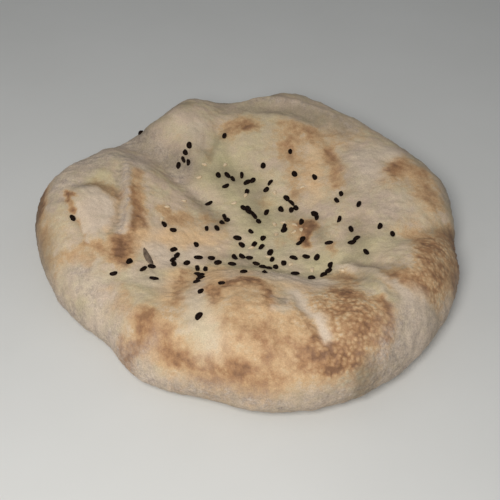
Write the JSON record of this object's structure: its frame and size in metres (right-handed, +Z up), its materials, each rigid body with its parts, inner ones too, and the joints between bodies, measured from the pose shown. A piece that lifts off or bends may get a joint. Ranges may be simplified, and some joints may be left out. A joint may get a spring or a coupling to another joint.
{
  "type": "flatbread",
  "caption": "Round puffy flatbread with a sunken seeded middle, a thick pillowy rim and black and pale seeds on the crust.",
  "frame": {"origin": "middle of the bounding box on the flat underside, at the surface the bread rests on", "axes": "+Z up out of the browned seeded top; -Y towards the largest pillow of dough, the front; +X to the right seen from the front"},
  "size_m": [0.1702, 0.1702, 0.0313],
  "materials": {
    "baked_crust": "dry floured baked bread crust, pale beige with brown patches, dull"
  },
  "bodies": {
    "root": {"flatbread": "baked_crust"}
  },
  "joints": []
}
